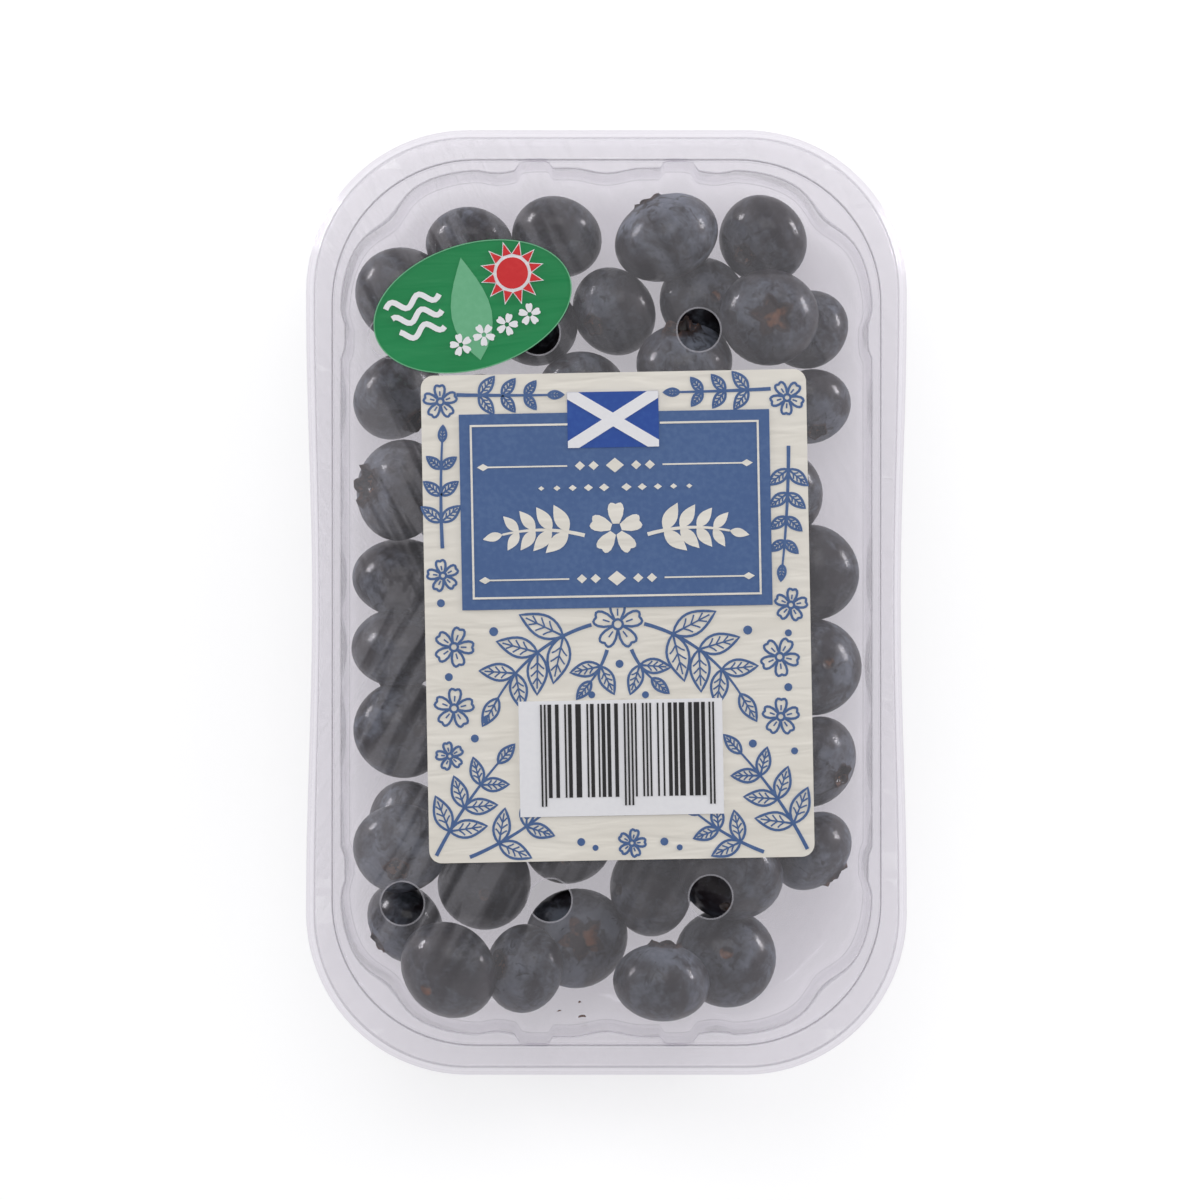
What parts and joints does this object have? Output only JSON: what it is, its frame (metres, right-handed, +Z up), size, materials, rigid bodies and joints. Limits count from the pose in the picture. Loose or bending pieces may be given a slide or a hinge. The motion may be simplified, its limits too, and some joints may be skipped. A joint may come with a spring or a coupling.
{
  "type": "punnet of blueberries",
  "caption": "Clear rigid tray of blueberries under a sealed clear film with vent holes, a paper label and an oval sticker.",
  "frame": {"origin": "centre of the underside of the tray's floor", "axes": "+Z up through the film, +Y along the pack's long side, +X across it to the right of the upright label"},
  "size_m": [0.119, 0.187, 0.0345],
  "materials": {
    "tray_plastic": "clear thermoformed PET, glossy",
    "lid_film": "clear sealed film, glossy, slightly rippled",
    "label_paper": "cream paper with blue print, satin",
    "sticker_paper": "green printed paper, satin",
    "berry_skin": "waxy dark blue fruit skin with a pale bloom"
  },
  "bodies": {
    "root": {"tray": "tray_plastic", "rim": "tray_plastic", "film": "lid_film", "label": "label_paper", "sticker": "sticker_paper", "berries": "berry_skin"}
  },
  "joints": []
}
